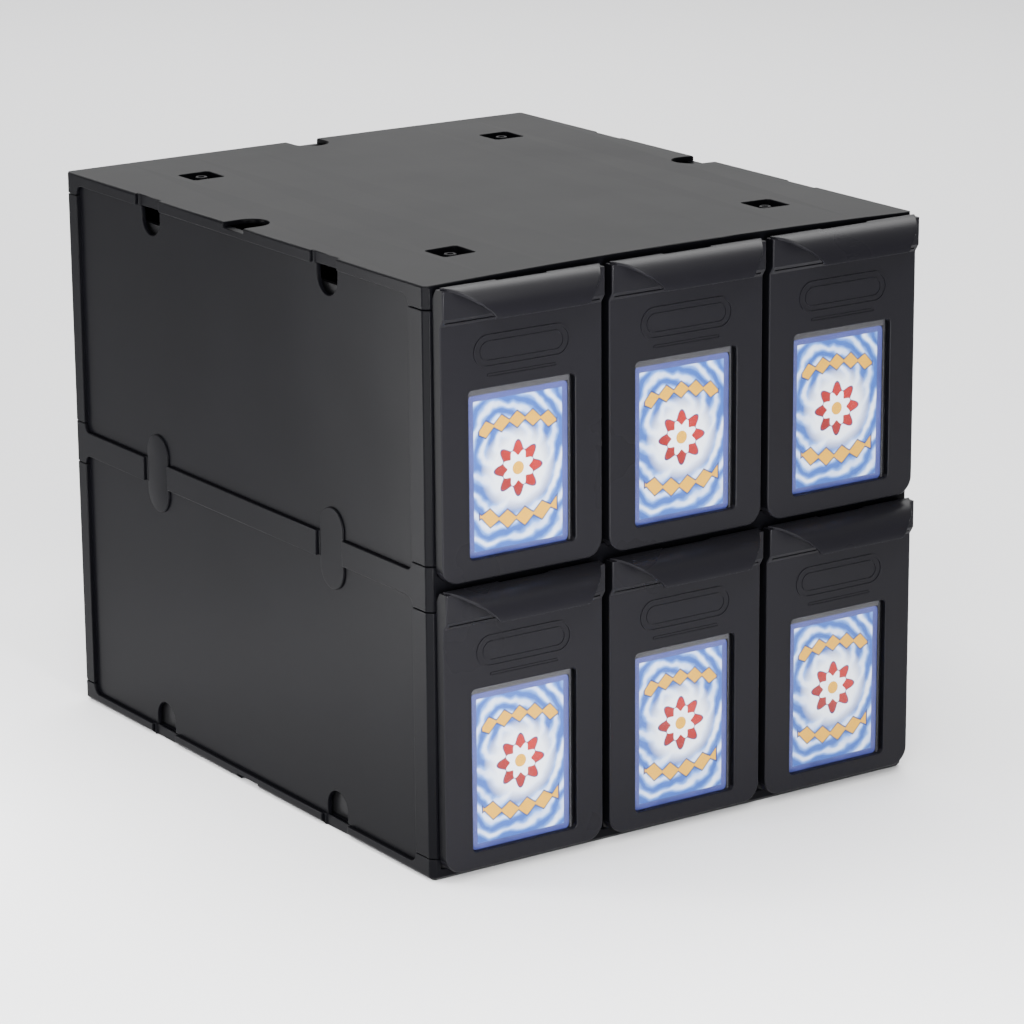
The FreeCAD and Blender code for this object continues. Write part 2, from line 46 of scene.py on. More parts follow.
mm = 0.001
tierNames = ["lower", "upper"]
bayNames = ["left", "middle", "right"]

# where the cabinet stands, read from its own solids, in mm
plateLow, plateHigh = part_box("middle_plate")
frontY = plateLow.y / mm
rearY = plateHigh.y / mm
sideX = plateHigh.x / mm
lowerFrontLow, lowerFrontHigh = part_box("drawer_lower_left_front")
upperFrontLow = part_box("drawer_upper_left_front")[0]
tierPitch = (upperFrontLow.z - lowerFrontLow.z) / mm
topZ = 2 * tierPitch


def newMaterial(name, baseColour, roughness, specular):
    material = bpy.data.materials.new(name)
    material.use_nodes = True
    shader = material.node_tree.nodes["Principled BSDF"]
    shader.inputs["Base Color"].default_value = (*baseColour, 1.0)
    shader.inputs["Roughness"].default_value = roughness
    shader.inputs["Specular IOR Level"].default_value = specular
    return material, material.node_tree, shader


def noiseNode(tree, coordinates, scale, detail):
    noise = tree.nodes.new("ShaderNodeTexNoise")
    noise.inputs["Scale"].default_value = scale
    noise.inputs["Detail"].default_value = detail
    tree.links.new(coordinates, noise.inputs["Vector"])
    return noise.outputs["Fac"]


def rangeNode(tree, value, low, high, toLow, toHigh):
    node = tree.nodes.new("ShaderNodeMapRange")
    for socket, number in zip(("From Min", "From Max", "To Min", "To Max"), (low, high, toLow, toHigh)):
        node.inputs[socket].default_value = number
    tree.links.new(value, node.inputs["Value"])
    return node.outputs["Result"]


def plugIn(tree, socket, value):
    if isinstance(value, tuple):
        socket.default_value = (*value, 1.0)
    elif isinstance(value, (int, float)):
        socket.default_value = value
    else:
        tree.links.new(value, socket)


def mathNode(tree, operation, *values):
    node = tree.nodes.new("ShaderNodeMath")
    node.operation = operation
    for socket, value in zip(node.inputs, values):
        plugIn(tree, socket, value)
    return node.outputs["Value"]


def mixColour(tree, factor, first, second):
    node = tree.nodes.new("ShaderNodeMix")
    node.data_type = "RGBA"
    for index, value in ((0, factor), (6, first), (7, second)):  # the colour pair is at 6 and 7
        plugIn(tree, node.inputs[index], value)
    return node.outputs[2]


# satin injection-moulded black, with a fine grain, faint flow marks and handling scuffs
mouldedBlack = {
    "cabinet": {"base": (0.0018, 0.0018, 0.0024), "worn": (0.0028, 0.0028, 0.0036), "specular": 0.036,
                "smooth": 0.28, "rough": 0.33, "scuffs": 0.02,
                "grain": 2600.0, "grainDepth": 0.04, "flow": 9.0},
    "front": {"base": (0.0062, 0.006, 0.0074), "worn": (0.0068, 0.0066, 0.0082), "specular": 0.07,
              "smooth": 0.27, "rough": 0.3, "scuffs": 0.02,
              "grain": 3200.0, "grainDepth": 0.03, "flow": 14.0},
    "tray": {"base": (0.0045, 0.0045, 0.005), "worn": (0.0085, 0.0085, 0.009), "specular": 0.08,
             "smooth": 0.26, "rough": 0.36, "scuffs": 0.05,
             "grain": 1800.0, "grainDepth": 0.04, "flow": 11.0},
}
plasticMarks = {"flowDetail": 3.0, "flowSpread": (0.3, 0.7), "wornSpread": (0.35, 0.75), "wornMost": 0.7,
                "scratchStretch": (60.0, 900.0, 60.0), "scratchSpread": (0.62, 0.8), "fineDetail": 2.0,
                "grainHeight": 0.0002}


def mouldedPlastic(name):
    look, marks = mouldedBlack[name], plasticMarks
    material, tree, shader = newMaterial(name + "Black", look["base"], look["smooth"], look["specular"])
    place = tree.nodes.new("ShaderNodeTexCoord").outputs["Object"]
    flow = noiseNode(tree, place, look["flow"], marks["flowDetail"])
    stretched = tree.nodes.new("ShaderNodeMapping")
    stretched.inputs["Scale"].default_value = marks["scratchStretch"]
    tree.links.new(place, stretched.inputs["Vector"])
    scratches = noiseNode(tree, stretched.outputs["Vector"], 1.0, marks["fineDetail"])
    scuffs = rangeNode(tree, scratches, *marks["scratchSpread"], 0.0, look["scuffs"])
    sheen = rangeNode(tree, flow, *marks["flowSpread"], look["smooth"], look["rough"])
    tree.links.new(mathNode(tree, "ADD", sheen, scuffs), shader.inputs["Roughness"])
    tint = rangeNode(tree, flow, *marks["wornSpread"], 0.0, marks["wornMost"])
    tree.links.new(mixColour(tree, tint, look["base"], look["worn"]), shader.inputs["Base Color"])
    bump = tree.nodes.new("ShaderNodeBump")
    bump.inputs["Strength"].default_value = look["grainDepth"]
    bump.inputs["Distance"].default_value = marks["grainHeight"]
    tree.links.new(noiseNode(tree, place, look["grain"], marks["fineDetail"]), bump.inputs["Height"])
    tree.links.new(bump.outputs["Normal"], shader.inputs["Normal"])
    return material


cabinetBlack = mouldedPlastic("cabinet")
frontBlack = mouldedPlastic("front")
trayBlack = mouldedPlastic("tray")

# display card, in mm: blue border round a pale swirling field
cardPrint = {"width": 63.0, "height": 88.0, "border": 3.4, "rough": 0.32, "specular": 0.5, "edgeBlur": 0.1,
             "blue": (0.042, 0.052, 0.2), "deepBlue": (0.008, 0.02, 0.12), "sky": (0.016, 0.075, 0.34),
             "mist": (0.15, 0.32, 0.76), "white": (0.85, 0.91, 1.0), "red": (0.3, 0.002, 0.001),
             "gold": (0.6, 0.3, 0.0), "patchScale": 0.05, "patchDetail": 2.0, "patchSpread": (0.3, 0.7),
             "borderTone": (0.8, 1.15)}
cardSwirl = {"place": (9.0, -14.0, 0.0), "scale": 0.035, "distortion": 9.0, "detail": 3.0, "detailScale": 0.9,
             "cloudScale": 0.06, "cloudDetail": 4.0, "swirlShare": 0.55, "cloudShare": 0.6,
             "mistSpread": (0.35, 0.7), "whiteSpread": (0.64, 0.98)}
cardRosette = {"middle": (0.0, 1.0), "radius": 15.0, "petals": 8.0, "petalDepth": 2.6, "innerDepth": -1.6,
               "innerShare": 0.56, "coreShare": 0.24, "halo": (0.4, 9.0), "haloMost": 0.95,
               "outline": (0.5, 0.8), "petalEdge": (-0.3, 0.0), "fineEdge": (-0.15, 0.15),
               "shade": (-14.0, 12.0), "shadeLeast": 0.25, "shadowRed": 0.5}
cardRibbons = [{"middle": 27.5, "height": 9.0, "bend": -0.007},
               {"middle": -26.0, "height": 10.0, "bend": 0.007}]
ribbonShape = {"start": 40.0, "halfLength": 24.5, "cellShare": 0.55, "lean": 0.8, "outline": (0.6, 0.9),
               "goldEdge": (-0.25, 0.0)}

# the card stands in a thin sleeve, which shows as a grey rim
clearPane = {"tint": (0.02, 0.02, 0.024), "sleeve": (0.04, 0.04, 0.045), "smooth": 0.05, "hazy": 0.12,
             "specular": 0.3, "hazeScale": 60.0, "hazeDetail": 3.0, "hazeSpread": (0.3, 0.7),
             "alpha": 0.06, "sleeveAlpha": 0.75, "sleeveHalf": (32.4, 48.2)}


def sheetPlace(tree, mapName):
    uv = tree.nodes.new("ShaderNodeUVMap")
    uv.uv_map = mapName  # in mm from the middle of the card
    split = tree.nodes.new("ShaderNodeSeparateXYZ")
    tree.links.new(uv.outputs["UV"], split.inputs["Vector"])
    return uv.outputs["UV"], split.outputs["X"], split.outputs["Y"]


# 1 inside a rectangle round the middle of the card, 0 outside
def insideOf(tree, mapName, halfWidth, halfHeight):
    across, up = sheetPlace(tree, mapName)[1:]
    overX = mathNode(tree, "SUBTRACT", mathNode(tree, "ABSOLUTE", across), halfWidth)
    overY = mathNode(tree, "SUBTRACT", mathNode(tree, "ABSOLUTE", up), halfHeight)
    blur = cardPrint["edgeBlur"]
    return rangeNode(tree, mathNode(tree, "MAXIMUM", overX, overY), -blur, blur, 1.0, 0.0)


# edge holds the distances where the ink starts to fade and where it ends
def inkInside(tree, under, distance, edge, colour):
    return mixColour(tree, rangeNode(tree, distance, *edge, 1.0, 0.0), under, colour)


def paneMaterial():
    look = clearPane
    material, tree, shader = newMaterial("clearPane", look["tint"], look["smooth"], look["specular"])
    place = tree.nodes.new("ShaderNodeTexCoord").outputs["Object"]
    patches = noiseNode(tree, place, look["hazeScale"], look["hazeDetail"])
    haze = rangeNode(tree, patches, *look["hazeSpread"], look["smooth"], look["hazy"])
    tree.links.new(haze, shader.inputs["Roughness"])
    card = insideOf(tree, "paneMap", cardPrint["width"] / 2, cardPrint["height"] / 2)
    sleeve = mathNode(tree, "SUBTRACT", insideOf(tree, "paneMap", *look["sleeveHalf"]), card)
    tree.links.new(mixColour(tree, sleeve, look["tint"], look["sleeve"]), shader.inputs["Base Color"])
    alpha = rangeNode(tree, sleeve, 0.0, 1.0, look["alpha"], look["sleeveAlpha"])
    tree.links.new(alpha, shader.inputs["Alpha"])
    return material


def swirlField(tree, place):
    look = cardSwirl
    swirl = tree.nodes.new("ShaderNodeTexWave")
    swirl.wave_type = "RINGS"
    swirl.rings_direction = "SPHERICAL"
    swirl.inputs["Scale"].default_value = look["scale"]
    swirl.inputs["Distortion"].default_value = look["distortion"]
    swirl.inputs["Detail"].default_value = look["detail"]
    swirl.inputs["Detail Scale"].default_value = look["detailScale"]
    shifted = tree.nodes.new("ShaderNodeMapping")
    shifted.inputs["Location"].default_value = look["place"]
    tree.links.new(place, shifted.inputs["Vector"])
    tree.links.new(shifted.outputs["Vector"], swirl.inputs["Vector"])
    clouds = noiseNode(tree, place, look["cloudScale"], look["cloudDetail"])
    clouds = mathNode(tree, "MULTIPLY", clouds, look["cloudShare"])
    streaks = mathNode(tree, "MULTIPLY_ADD", swirl.outputs["Fac"], look["swirlShare"], clouds)
    misty = rangeNode(tree, streaks, *look["mistSpread"], 0.0, 1.0)
    field = mixColour(tree, misty, cardPrint["sky"], cardPrint["mist"])
    bright = rangeNode(tree, streaks, *look["whiteSpread"], 0.0, 1.0)
    return mixColour(tree, bright, field, cardPrint["white"])


# pointed petals with a dark outline, round a white star and a gold middle
def addRosette(tree, field, across, up):
    look, inks = cardRosette, cardPrint
    radius = look["radius"]
    dx = mathNode(tree, "SUBTRACT", across, look["middle"][0])
    dy = mathNode(tree, "SUBTRACT", up, look["middle"][1])
    squares = [mathNode(tree, "MULTIPLY", side, side) for side in (dx, dy)]
    distance = mathNode(tree, "SQRT", mathNode(tree, "ADD", *squares))
    angle = mathNode(tree, "ARCTAN2", dy, dx)
    petals = mathNode(tree, "COSINE", mathNode(tree, "MULTIPLY", angle, look["petals"]))
    petalEdge = mathNode(tree, "MULTIPLY_ADD", petals, look["petalDepth"], radius - look["petalDepth"])
    toEdge = mathNode(tree, "SUBTRACT", distance, petalEdge)
    halo = rangeNode(tree, mathNode(tree, "SUBTRACT", distance, radius), *look["halo"], look["haloMost"], 0.0)
    field = mixColour(tree, halo, field, inks["white"])
    field = inkInside(tree, field, toEdge, look["outline"], inks["deepBlue"])
    shade = rangeNode(tree, mathNode(tree, "ADD", dx, dy), *look["shade"], look["shadeLeast"], 1.0)
    shadowRed = tuple(channel * look["shadowRed"] for channel in inks["red"])
    petalRed = mixColour(tree, shade, shadowRed, inks["red"])
    field = inkInside(tree, field, toEdge, look["petalEdge"], petalRed)
    innerEdge = mathNode(tree, "MULTIPLY_ADD", petals, look["innerDepth"], radius * look["innerShare"])
    inner = mathNode(tree, "SUBTRACT", distance, innerEdge)
    field = inkInside(tree, field, inner, look["fineEdge"], inks["white"])
    core = mathNode(tree, "SUBTRACT", distance, radius * look["coreShare"])
    return inkInside(tree, field, core, look["fineEdge"], inks["gold"])


# a bent row of gold lozenges
def addRibbon(tree, field, across, up, ribbon):
    look, inks = ribbonShape, cardPrint
    square = mathNode(tree, "MULTIPLY", across, across)
    arc = mathNode(tree, "MULTIPLY_ADD", square, ribbon["bend"], ribbon["middle"])
    offset = mathNode(tree, "ABSOLUTE", mathNode(tree, "SUBTRACT", up, arc))
    cellLength = ribbon["height"] * look["cellShare"]
    cell = mathNode(tree, "PINGPONG", mathNode(tree, "ADD", across, look["start"]), cellLength)
    lozenge = mathNode(tree, "ADD", offset, mathNode(tree, "MULTIPLY", cell, look["lean"]))
    lozenge = mathNode(tree, "SUBTRACT", lozenge, ribbon["height"] / 2)
    pastEnd = mathNode(tree, "SUBTRACT", mathNode(tree, "ABSOLUTE", across), look["halfLength"])
    lozenge = mathNode(tree, "MAXIMUM", lozenge, pastEnd)
    field = inkInside(tree, field, lozenge, look["outline"], inks["deepBlue"])
    return inkInside(tree, field, lozenge, look["goldEdge"], inks["gold"])


def cardMaterial():
    look = cardPrint
    material, tree, shader = newMaterial("cardPrint", look["blue"], look["rough"], look["specular"])
    place, across, up = sheetPlace(tree, "printMap")
    field = swirlField(tree, place)
    field = addRosette(tree, field, across, up)
    for ribbon in cardRibbons:
        field = addRibbon(tree, field, across, up, ribbon)
    border = look["border"]
    picture = insideOf(tree, "printMap", look["width"] / 2 - border, look["height"] / 2 - border)
    patches = noiseNode(tree, place, look["patchScale"], look["patchDetail"])
    tone = rangeNode(tree, patches, *look["patchSpread"], *look["borderTone"])
    borderBlue = tree.nodes.new("ShaderNodeVectorMath")
    borderBlue.operation = "SCALE"
    borderBlue.inputs[0].default_value = look["blue"]
    tree.links.new(tone, borderBlue.inputs["Scale"])
    tree.links.new(mixColour(tree, picture, borderBlue.outputs["Vector"], field), shader.inputs["Base Color"])
    return material


windowClear = paneMaterial()
cardFace = cardMaterial()
print("materials ready")


def camelName(nodeName):
    first, *rest = nodeName.split("_")
    return first + "".join(word.capitalize() for word in rest)


def splitLarge(bm):
    bmesh.ops.triangulate(bm, faces=[f for f in bm.faces if len(f.verts) > 4])


def finishPiece(bm, name, body, material, replaced=()):
    mesh = bpy.data.meshes.new(name)
    bm.to_mesh(mesh)
    bm.free()
    mesh.materials.append(material)
    piece = bpy.data.objects.new(name, mesh)
    bpy.context.scene.collection.objects.link(piece)
    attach(piece, body)
    if replaced:
        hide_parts(*replaced)
    return piece


def paintNode(node, material):
    nodes[node].data.materials.clear()
    nodes[node].data.materials.append(material)


def roundEdges(bm, edges, offset, segments):
    made = bmesh.ops.bevel(bm, geom=edges, offset=offset * mm, offset_type="OFFSET", segments=segments,
                           profile=0.5, affect="EDGES", clamp_overlap=False, material=-1)
    for face in made["faces"]:
        face.smooth = True


def middleOf(edge):
    return (edge.verts[0].co + edge.verts[1].co) / (2 * mm)


# roundings of the cabinet's outer edges, in mm and degrees
softened = {
    "edge": 0.45,
    "corner": 0.7,            # front upright corners and the front edge of the top
    "clipEdge": 0.2,
    "segments": 3,
    "sharp": 32,              # edges that turn by more than this get rounded
    "blend": (3, 26),         # edges that turn by this much are shaded smooth
    "skin": 2.6,              # how far in from the sides and the rear an edge counts as outer
    "frontSkin": 0.1,
    "topSkin": 0.9,
    "cornerBand": 4.0,        # how far behind the front an upright corner lies
    "topBand": 3.0,           # how far below the top its front edge lies
    "straight": 0.9,          # share of an edge's length that runs its main way
    "flat": 0.8,              # joins faces that turn by less than this
    "crownFlat": 0.0286,      # the top keeps its crown, whose strips turn by more than this
}


def shadeBlends(bm):
    low, high = (math.radians(turn) for turn in softened["blend"])
    for edge in bm.edges:
        if len(edge.link_faces) == 2 and low < edge.calc_face_angle(0.0) < high:
            for face in edge.link_faces:
                face.smooth = True


# sharp convex edges on the outside of the cabinet
def outerRims(bm):
    s = softened
    rims = []
    for edge in bm.edges:
        if len(edge.link_faces) != 2 or not edge.is_convex:
            continue
        at = middleOf(edge)
        outer = (abs(at.x) > sideX - s["skin"] or at.y < frontY + s["frontSkin"]
                 or at.y > rearY - s["skin"] or at.z > topZ - s["topSkin"])
        if outer and edge.calc_face_angle(0.0) > math.radians(s["sharp"]):
            rims.append(edge)
    return rims


# the rims that get the wider rounding
def frontCorners(rims):
    s = softened
    corners = []
    for edge in rims:
        at = middleOf(edge)
        run = edge.verts[1].co - edge.verts[0].co
        upright = (abs(run.z) > s["straight"] * run.length and abs(at.x) > sideX - s["skin"]
                   and at.y < frontY + s["cornerBand"])
        topEdge = (abs(run.x) > s["straight"] * run.length and at.y < frontY + s["frontSkin"]
                   and at.z > topZ - s["topBand"])
        if upright or topEdge:
            corners.append(edge)
    return corners


def softCopy(node, edge, flat):
    bm = bmesh.new()
    bm.from_mesh(nodes[node].data)
    bmesh.ops.remove_doubles(bm, verts=bm.verts, dist=0.01 * mm)
    bmesh.ops.dissolve_limit(bm, angle_limit=math.radians(flat), verts=bm.verts, edges=bm.edges)
    shadeBlends(bm)
    corners = frontCorners(outerRims(bm))
    if corners:
        roundEdges(bm, corners, softened["corner"], softened["segments"])
    rims = outerRims(bm)
    if rims:
        roundEdges(bm, rims, edge, softened["segments"])
    splitLarge(bm)
    finishPiece(bm, camelName(node) + "Moulded", "cabinet", cabinetBlack, [node])


softCopy("top_plate", softened["edge"], softened["crownFlat"])
for plate in ("middle_plate", "bottom_plate"):
    softCopy(plate, softened["edge"], softened["flat"])
for tier in tierNames:
    for panel in ("side_panel_left_", "side_panel_right_", "back_panel_"):
        softCopy(panel + tier, softened["edge"], softened["flat"])
    for divider in ("divider_left_", "divider_right_"):
        paintNode(divider + tier, cabinetBlack)
for clip in ("clip_left_front", "clip_left_rear", "clip_right_front", "clip_right_rear"):
    softCopy(clip, softened["clipEdge"], softened["flat"])
print("cabinet moulded")

# drawer front, in mm, drawn round its own middle with the tier line at z = 0
frontShape = {
    "width": (lowerFrontHigh.x - lowerFrontLow.x) / mm,
    "lift": lowerFrontLow.z / mm,        # bottom edge above the tier line
    "upperDrop": 2.1,                    # the upper tier's fronts reach this much lower
    "topDrop": 1.0,                      # top under the lip, below the tier's top
    "topBehind": 5.8,                    # fall of the top towards the cabinet
    "gap": 0.6,                          # back of the front to the cabinet
    "wall": 2.4,
    "faceProud": 7.6,
    "browProud": 10.5,
    "browDrop": 16.2,
    "browSlope": 4.4,
    "grooveDrop": 18.0,
    "grooveHeight": 0.9,
    "grooveDepth": 1.0,
    "cornerRadius": 10.0,
    "cornerSegments": 10,
    "hollowDrop": 12.0,                  # top of the hollow behind, below the front's top
    "windowWidth": 67.5,
    "windowHeight": 91.5,
    "windowLift": 14.5,
    "windowCorner": 2.5,
    "windowSegments": 5,
    "revealDepth": 3.4,                  # depth of the window's edge
    "pocketMargin": 2.0,                 # room round the pane behind the window
    "pocketTuck": 0.6,
    "pocketWall": 2.0,
    "edgeRound": 0.7,
    "windowRound": 0.45,
    "roundSegments": 3,
    "sharp": 25,                         # edges that turn by more than this get rounded
    "frontBand": 0.3,                    # how far behind the face an edge counts as its own
    "rimBand": 0.5,
    "sideTurn": 0.97,                    # faces that look this squarely sideways are the side walls, which get the darker cabinet black as painted shade
}

lipShape = {
    "rear": 6.4,                         # rear edge in front of the cabinet
    "rise": 0.3,
    "reach": 22.0,
    "drop": 15.1,
    "thickness": 1.6,
    "inset": 21.0,
    "sweep": [(0.0, 0.0), (0.33, 0.24), (0.6, 0.42), (0.8, 0.62), (0.93, 0.82), (1.0, 1.0)],
    "straight": 55.0,
    "cornerRadius": 8.0,
    "notchWidth": 31.0,
    "notchLength": 1.8,
    "columns": 44,
    "rows": 22,
    "bunching": 1.35,                    # brings the rows closer towards the rounded lower edge
    "endPasses": 2,
    "endSmoothing": 0.25,
    "rimRound": 0.3,
    "rimSegments": 2,
    "rimSharp": 50,
    "creaseSharp": 35,
}

# raised outlines on the face, in mm: a pill, a smaller pill inside it and a thin bar below
badgeShape = {"segments": 48, "sunk": 0.3,
              "outlines": [{"height": 125.6, "width": 61.0, "tall": 18.0, "band": 1.2, "proud": 0.5},
                           {"height": 125.6, "width": 53.0, "tall": 11.0, "band": 0.7, "proud": 0.4},
                           {"height": 112.6, "width": 44.0, "tall": 2.0, "band": 0.6, "proud": 0.4}]}

hair = 0.01        # mm, for telling places apart
flatAngle = 0.001  # radians, for joining faces in one plane


def near(value, target):
    return abs(value - target * mm) < 2 * hair * mm


def partsOf(faces):
    return list(dict.fromkeys(part for face in faces for part in (face, *face.edges, *face.verts)))


def newVerts(made):
    return [v for v in made["geom"] if isinstance(v, bmesh.types.BMVert)]


def cutAcross(bm, faces, axis, place):
    normal = [0.0, 0.0, 0.0]
    normal[axis] = 1.0
    bmesh.ops.bisect_plane(bm, geom=partsOf(faces), plane_co=Vector(normal) * place * mm, plane_no=normal)


def push(bm, faces, distance):
    made = bmesh.ops.extrude_face_region(bm, geom=partsOf(faces))
    bmesh.ops.translate(bm, vec=(0, distance * mm, 0), verts=newVerts(made))


def facesAt(bm, depth):
    return [f for f in bm.faces if all(near(v.co.y, depth) for v in f.verts)]


def within(face, halfWidth, heights):
    at = face.calc_center_median() / mm
    return abs(at.x) < halfWidth and heights[0] < at.z < heights[1]


def uprightQuad(bm, width, bottom, top, depth):
    made = bmesh.ops.create_grid(bm, x_segments=1, y_segments=1, size=0.5)["verts"]
    bmesh.ops.scale(bm, vec=(width * mm, (top - bottom) * mm, 1.0), verts=made)
    bmesh.ops.rotate(bm, matrix=Matrix.Rotation(math.pi / 2, 3, "X"), verts=made)
    bmesh.ops.translate(bm, vec=(0, depth * mm, (bottom + top) / 2 * mm), verts=made)
    return made


def roundCorners(bm, verts, radius, segments):
    bmesh.ops.bevel(bm, geom=verts, offset=radius * mm, offset_type="OFFSET", segments=segments,
                    profile=0.5, affect="VERTICES", clamp_overlap=False, material=-1)


# the face, with its border kept apart from the middle
def frontOutline(bm, s, bottom, top):
    uprightQuad(bm, s["width"], bottom, top, -s["faceProud"])
    roundCorners(bm, [v for v in bm.verts if near(v.co.z, bottom)], s["cornerRadius"], s["cornerSegments"])
    middle = bm.faces[:][0]
    bmesh.ops.inset_region(bm, faces=[middle], thickness=s["wall"] * mm, use_even_offset=True,
                           use_boundary=True)
    return middle


# the middle is filled again between the border and the window's rounded loop
def openWindow(bm, s, middle, windowZ):
    outline = set(bm.edges)
    corners = uprightQuad(bm, s["windowWidth"], *windowZ, -s["faceProud"])
    roundCorners(bm, corners, s["windowCorner"], s["windowSegments"])
    opening = [e for e in bm.edges if e not in outline]
    kept = set(bm.edges)
    border = list(middle.edges)
    windowFaces = dict.fromkeys(f for e in opening for f in e.link_faces)
    bmesh.ops.delete(bm, geom=[middle, *windowFaces], context="FACES_ONLY")
    bmesh.ops.triangle_fill(bm, use_beauty=True, edges=opening + border)
    bmesh.ops.dissolve_limit(bm, angle_limit=flatAngle, verts=bm.verts, delimit={"NORMAL"},
                             edges=[e for e in bm.edges if e not in kept])


# gap in the top wall, under the notch of the lip
def cutNotch(bm, s, top):
    half = lipShape["notchWidth"] / 2
    for x in (-half, half):
        cutAcross(bm, [f for f in bm.faces if f.calc_center_median().z > (top - s["wall"]) * mm], 0, x)
    strip = [f for f in bm.faces if within(f, half, (top - s["wall"], top))]
    bmesh.ops.delete(bm, geom=strip, context="FACES")


# behind the face: a pocket for the pane, a wall round it, and a hollow that keeps the skin even
def pushWalls(bm, s, border, windowZ, top):
    pocketHalf = s["windowWidth"] / 2 + s["pocketMargin"]
    ringHalf = pocketHalf + s["pocketWall"]
    pocketZ = (windowZ[0] - s["pocketTuck"], windowZ[1] + s["pocketMargin"])
    ringZ = (pocketZ[0] - s["pocketWall"], pocketZ[1] + s["pocketWall"])
    hollowTop = top - s["hollowDrop"]
    frameBack = -s["faceProud"] + s["revealDepth"]
    for x in (-pocketHalf, pocketHalf, -ringHalf, ringHalf):
        cutAcross(bm, facesAt(bm, frameBack), 0, x)
    for z in (*pocketZ, *ringZ, hollowTop):
        cutAcross(bm, facesAt(bm, frameBack), 2, z)
    behind = [f for f in facesAt(bm, frameBack) if not within(f, pocketHalf, pocketZ)]
    push(bm, behind, -s["gap"] - frameBack)
    hollow = [f for f in facesAt(bm, -s["gap"]) if not f[border]
              and f.calc_center_median().z < hollowTop * mm and not within(f, ringHalf, ringZ)]
    push(bm, hollow, -(s["faceProud"] - s["gap"] - s["wall"]))


# the face leans out to the brow, which has a groove across it
def slopeBrow(bm, s, slopeZ):
    for v in bm.verts:
        if near(v.co.y, -s["faceProud"]) and v.co.z > (slopeZ[0] + hair) * mm:
            rise = min(1.0, (v.co.z / mm - slopeZ[0]) / s["browSlope"])
            v.co.y -= (s["browProud"] - s["faceProud"]) * rise * mm
    groove = [f for f in bm.faces if within(f, s["width"] / 2 - s["wall"], slopeZ[1:3])
              and f.calc_center_median().y < -s["faceProud"] * mm]
    push(bm, groove, s["grooveDepth"])


# behind the lip the top falls towards the cabinet
def slopeTop(bm, s, top):
    cutAcross(bm, bm.faces, 1, -lipShape["rear"])
    for v in bm.verts:
        if near(v.co.y, -s["gap"]) and v.co.z > (top - s["wall"] - hair) * mm:
            v.co.z = (top - s["topBehind"]) * mm


def roundFront(bm, s, bottom, windowZ):
    outer, rim = [], []
    windowHalf = s["windowWidth"] / 2
    for edge in bm.edges:
        if len(edge.link_faces) != 2 or not edge.is_convex:
            continue
        rearmost = max(v.co.y for v in edge.verts) / mm
        behind = rearmost > -s["faceProud"] + s["frontBand"]
        if behind or edge.calc_face_angle(0.0) < math.radians(s["sharp"]):
            continue
        at = middleOf(edge)
        besideWindow = abs(at.x) < windowHalf + s["rimBand"]
        if besideWindow and windowZ[0] - s["rimBand"] < at.z < windowZ[1] + s["rimBand"]:
            rim.append(edge)
        elif abs(at.x) > s["width"] / 2 - s["rimBand"] or at.z < bottom + s["cornerRadius"]:
            outer.append(edge)
    roundEdges(bm, outer, s["edgeRound"], s["roundSegments"])
    roundEdges(bm, [edge for edge in rim if edge.is_valid], s["windowRound"], s["roundSegments"])


def frontBody(bm, s, tier):
    bottom = s["lift"] - (s["upperDrop"] if tier == "upper" else 0.0)
    top = tierPitch - s["topDrop"]
    windowZ = (s["windowLift"], s["windowLift"] + s["windowHeight"])
    browZ, grooveZ = tierPitch - s["browDrop"], tierPitch - s["grooveDrop"]
    slopeZ = (browZ - s["browSlope"], grooveZ - s["grooveHeight"], grooveZ, browZ)
    border = bm.faces.layers.int.new("border")
    middle = frontOutline(bm, s, bottom, top)
    for face in bm.faces:
        face[border] = int(face is not middle)
    openWindow(bm, s, middle, windowZ)
    for z in slopeZ:
        cutAcross(bm, bm.faces, 2, z)
    cutNotch(bm, s, top)
    push(bm, bm.faces[:], s["revealDepth"])
    pushWalls(bm, s, border, windowZ, top)
    slopeBrow(bm, s, slopeZ)
    slopeTop(bm, s, top)
    bmesh.ops.recalc_face_normals(bm, faces=bm.faces)
    roundFront(bm, s, bottom, windowZ)


def sweepInset(share):
    points = lipShape["sweep"]
    for (start, insetThere), (end, insetNext) in zip(points, points[1:]):
        if share <= end:
            return insetThere + (insetNext - insetThere) * (share - start) / (end - start)
    return 1.0


def lipTurn(s, row):
    firstTurn = math.asin(s["notchLength"] / s["reach"])
    if row == 0:
        return 0.0
    left = 1 - (row - 1) / (s["rows"] - 1)
    return firstTurn + (math.pi / 2 - firstTurn) * (1 - left ** s["bunching"])


# the grid, 1 long and 1 wide, becomes a quarter of an ellipse with ends that sweep in
def bendLip(s, grid):
    half = frontShape["width"] / 2
    for v in grid:
        across, down = v.co.x * 2, 0.5 - v.co.y
        turn = lipTurn(s, round(down * s["rows"]))
        forward = s["reach"] * math.sin(turn)
        above = s["drop"] * math.cos(turn)
        reach = half - s["inset"] * sweepInset(forward / s["reach"])
        if above < s["cornerRadius"]:
            arc = math.sqrt(s["cornerRadius"] ** 2 - (s["cornerRadius"] - above) ** 2)
            reach = min(reach, s["straight"] / 2 + arc)
        v.co = Vector((across * reach, -s["rear"] - forward, tierPitch + s["rise"] - s["drop"] + above)) * mm


